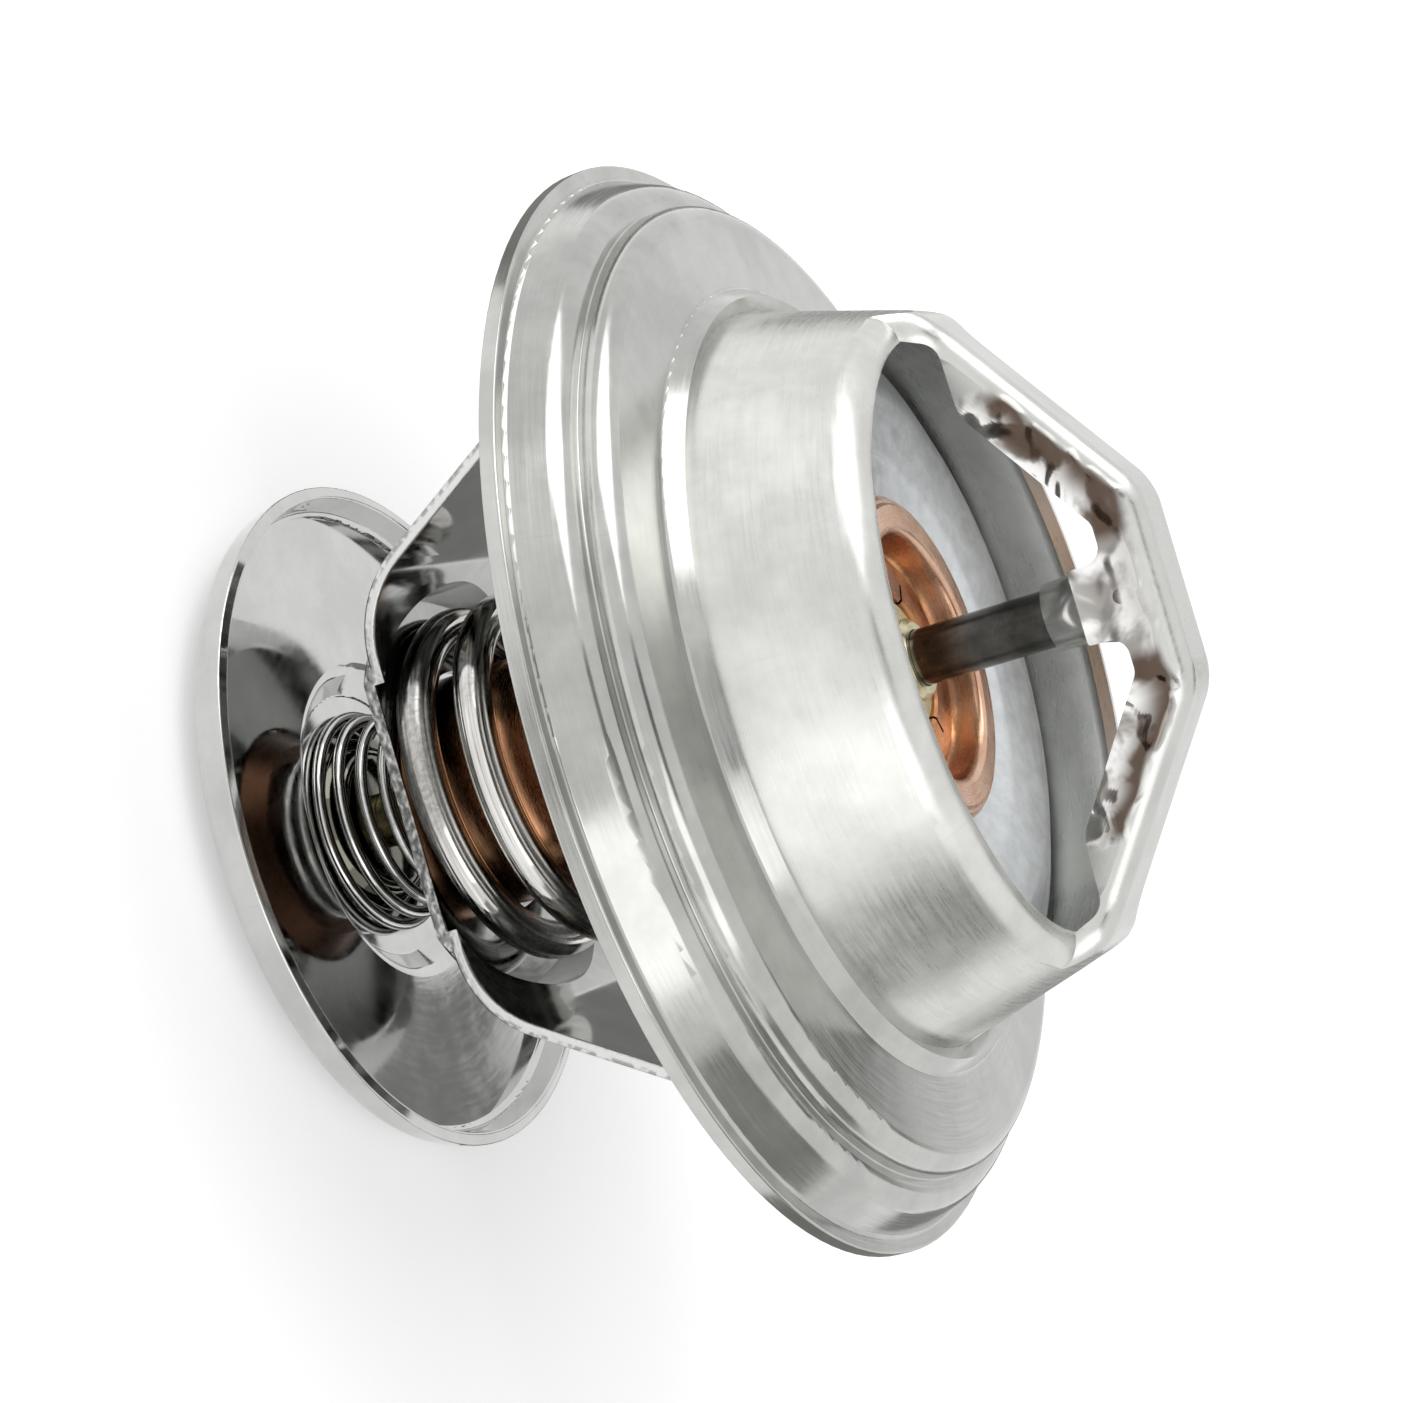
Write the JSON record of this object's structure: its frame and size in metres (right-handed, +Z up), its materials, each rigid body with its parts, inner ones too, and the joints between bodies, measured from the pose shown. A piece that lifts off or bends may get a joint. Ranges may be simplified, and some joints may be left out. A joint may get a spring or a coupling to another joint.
{
  "type": "engine coolant thermostat",
  "caption": "Flanged coolant thermostat with a bridge, a spring-loaded main valve on a wax element, a stirrup, and a sprung bypass disc.",
  "frame": {"origin": "on the axis, in the middle plane of the flange rim's edge", "axes": "+Z up the axis from the bypass disc towards the bridge; X along the bridge and the stirrup"},
  "size_m": [0.067, 0.067, 0.0551],
  "materials": {
    "satin_steel": "circumferentially brushed satin stainless steel",
    "bright_steel": "mirror bright stainless steel",
    "valve_steel": "bright pressed steel with a light blue-grey cast",
    "pin_steel": "ground dark steel",
    "spring_steel": "bright drawn wire",
    "copper": "bright drawn copper",
    "brass": "pale turned brass",
    "backup_plastic": "white low-friction plastic",
    "boot_rubber": "moulded black rubber",
    "wax": "copper-filled wax"
  },
  "bodies": {
    "housing": {"flange_plate": "satin_steel", "bridge_cage": "satin_steel", "stirrup": "bright_steel", "piston": "pin_steel", "main_spring": "spring_steel"},
    "element": {"main_valve": "valve_steel", "element_cup": "copper", "piston_guide": "brass", "backup_ring": "backup_plastic", "rubber_boot": "boot_rubber", "wax_charge": "wax", "bypass_stem": "brass", "retaining_ring": "spring_steel", "bypass_spring": "spring_steel"},
    "bypass": {"bypass_disc": "bright_steel"}
  },
  "joints": [
    {"name": "valve_lift", "type": "slide", "parent": "housing", "child": "element", "axis": [0, 0, -1], "range_m": [0, 0.008], "stiffness_N_per_m": 2500, "springref_m": -0.012, "deforming": ["main_spring"]},
    {"name": "bypass_slide", "type": "slide", "parent": "element", "child": "bypass", "axis": [0, 0, 1], "range_m": [0, 0.003], "stiffness_N_per_m": 1200, "springref_m": -0.005, "deforming": ["bypass_spring"]}
  ]
}
